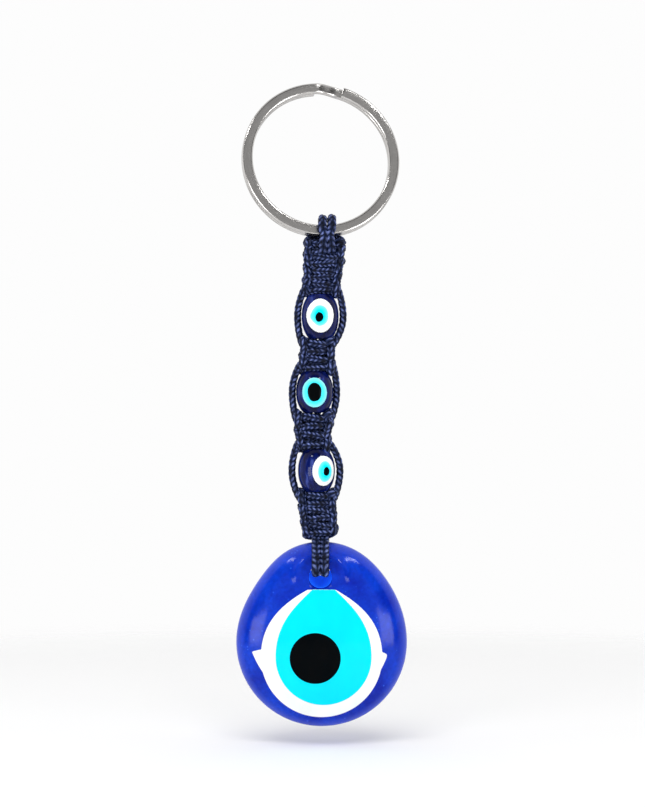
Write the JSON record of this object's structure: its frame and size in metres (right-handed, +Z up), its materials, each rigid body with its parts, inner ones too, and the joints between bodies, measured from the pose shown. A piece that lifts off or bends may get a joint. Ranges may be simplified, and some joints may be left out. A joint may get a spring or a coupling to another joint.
{
  "type": "evil eye key ring charm",
  "caption": "Hanging charm: a split ring, a knotted navy cord strap with small glass eye beads, and a cobalt glass eye pendant on a doubled cord.",
  "frame": {"origin": "inner top of the split ring, where a hook or key holds it", "axes": "+Z up, against the way the charm hangs; the eyes face -Y; +X to the right as seen from the front"},
  "size_m": [0.0322, 0.0132, 0.1217],
  "materials": {
    "ring_steel": "satin",
    "cord_navy": "braided nylon, slight sheen",
    "glass_navy": "polished, nearly opaque",
    "glass_cobalt": "polished, nearly opaque",
    "glass_white": "polished, opaque",
    "glass_turquoise": "polished, opaque",
    "glass_black": "polished, opaque"
  },
  "bodies": {
    "ring": {"split_ring": "ring_steel"},
    "ring_loops": {"ring_loop_left": "cord_navy", "ring_loop_right": "cord_navy"},
    "upper_strap": {"knot_01": "cord_navy", "knot_02": "cord_navy", "knot_03": "cord_navy", "knot_04": "cord_navy", "core_cord_left_1": "cord_navy", "core_cord_right_1": "cord_navy", "side_cord_left_1": "cord_navy", "side_cord_right_1": "cord_navy"},
    "middle_strap_a": {"knot_05": "cord_navy", "knot_06": "cord_navy", "core_cord_left_2": "cord_navy", "core_cord_right_2": "cord_navy", "side_cord_left_2": "cord_navy", "side_cord_right_2": "cord_navy"},
    "middle_strap_b": {"knot_07": "cord_navy", "knot_08": "cord_navy", "core_cord_left_3": "cord_navy", "core_cord_right_3": "cord_navy", "side_cord_left_3": "cord_navy", "side_cord_right_3": "cord_navy"},
    "lower_strap": {"knot_09": "cord_navy", "knot_10": "cord_navy", "knot_11": "cord_navy", "core_cord_left_4": "cord_navy", "core_cord_right_4": "cord_navy"},
    "bead_1": {"bead_1_glass": "glass_navy", "bead_1_front_white": "glass_white", "bead_1_front_turquoise": "glass_turquoise", "bead_1_front_pupil": "glass_black", "bead_1_back_white": "glass_white", "bead_1_back_turquoise": "glass_turquoise", "bead_1_back_pupil": "glass_black"},
    "bead_2": {"bead_2_glass": "glass_navy", "bead_2_front_turquoise": "glass_turquoise", "bead_2_front_pupil": "glass_black", "bead_2_back_turquoise": "glass_turquoise", "bead_2_back_pupil": "glass_black"},
    "bead_3": {"bead_3_glass": "glass_navy", "bead_3_front_white": "glass_white", "bead_3_front_turquoise": "glass_turquoise", "bead_3_front_pupil": "glass_black", "bead_3_back_white": "glass_white", "bead_3_back_turquoise": "glass_turquoise", "bead_3_back_pupil": "glass_black"},
    "pendant_loop": {"pendant_loop_left": "cord_navy", "pendant_loop_right": "cord_navy"},
    "pendant": {"pendant_glass": "glass_cobalt", "pendant_white": "glass_white", "pendant_turquoise": "glass_turquoise", "pendant_pupil": "glass_black"}
  },
  "joints": [
    {"name": "ring_turn", "type": "hinge", "parent": "ring", "child": "ring_loops", "pos_m": [0.00038, -0.00268, -0.01272], "axis": [-0.1361, 0.9686, -0.2079], "range_deg": [-150, 150]},
    {"name": "strap_swing", "type": "hinge", "parent": "ring_loops", "child": "upper_strap", "pos_m": [0.00078, -0.00556, -0.02641], "axis": [0.9903, 0.1392, 0], "range_deg": [-90, 90], "deforming": ["ring_loop_left", "ring_loop_right"]},
    {"name": "strap_fold_1", "type": "hinge", "parent": "upper_strap", "child": "middle_strap_a", "pos_m": [0.0003, -0.00556, -0.04245], "axis": [1, 0, 0], "range_deg": [-30, 30], "deforming": ["core_cord_left_1", "core_cord_right_1", "side_cord_left_1", "side_cord_right_1"]},
    {"name": "bead_1_spin", "type": "hinge", "parent": "upper_strap", "child": "bead_1", "pos_m": [0.0003, -0.00556, -0.04245], "axis": [0, 0, 1], "continuous": true},
    {"name": "strap_fold_2", "type": "hinge", "parent": "middle_strap_a", "child": "middle_strap_b", "pos_m": [-0.00075, -0.00556, -0.05665], "axis": [1, 0, 0], "range_deg": [-30, 30], "deforming": ["core_cord_left_2", "core_cord_right_2", "side_cord_left_2", "side_cord_right_2"]},
    {"name": "bead_2_spin", "type": "hinge", "parent": "middle_strap_a", "child": "bead_2", "pos_m": [-0.00075, -0.00556, -0.05665], "axis": [0, 0, 1], "continuous": true},
    {"name": "strap_fold_3", "type": "hinge", "parent": "middle_strap_b", "child": "lower_strap", "pos_m": [-0.0004, -0.00556, -0.0714], "axis": [1, 0, 0], "range_deg": [-30, 30], "deforming": ["core_cord_left_3", "core_cord_right_3", "side_cord_left_3", "side_cord_right_3"]},
    {"name": "bead_3_spin", "type": "hinge", "parent": "middle_strap_b", "child": "bead_3", "pos_m": [-0.0004, -0.00556, -0.0714], "axis": [0, 0, 1], "continuous": true},
    {"name": "pendant_swing", "type": "hinge", "parent": "lower_strap", "child": "pendant_loop", "pos_m": [0.00035, -0.00556, -0.0842], "axis": [1, 0, 0], "range_deg": [-45, 30], "deforming": ["pendant_loop_left", "pendant_loop_right"]},
    {"name": "pendant_rock", "type": "hinge", "parent": "pendant_loop", "child": "pendant", "pos_m": [0.00035, -0.00556, -0.09045], "axis": [0, 1, 0], "range_deg": [-20, 20]}
  ]
}
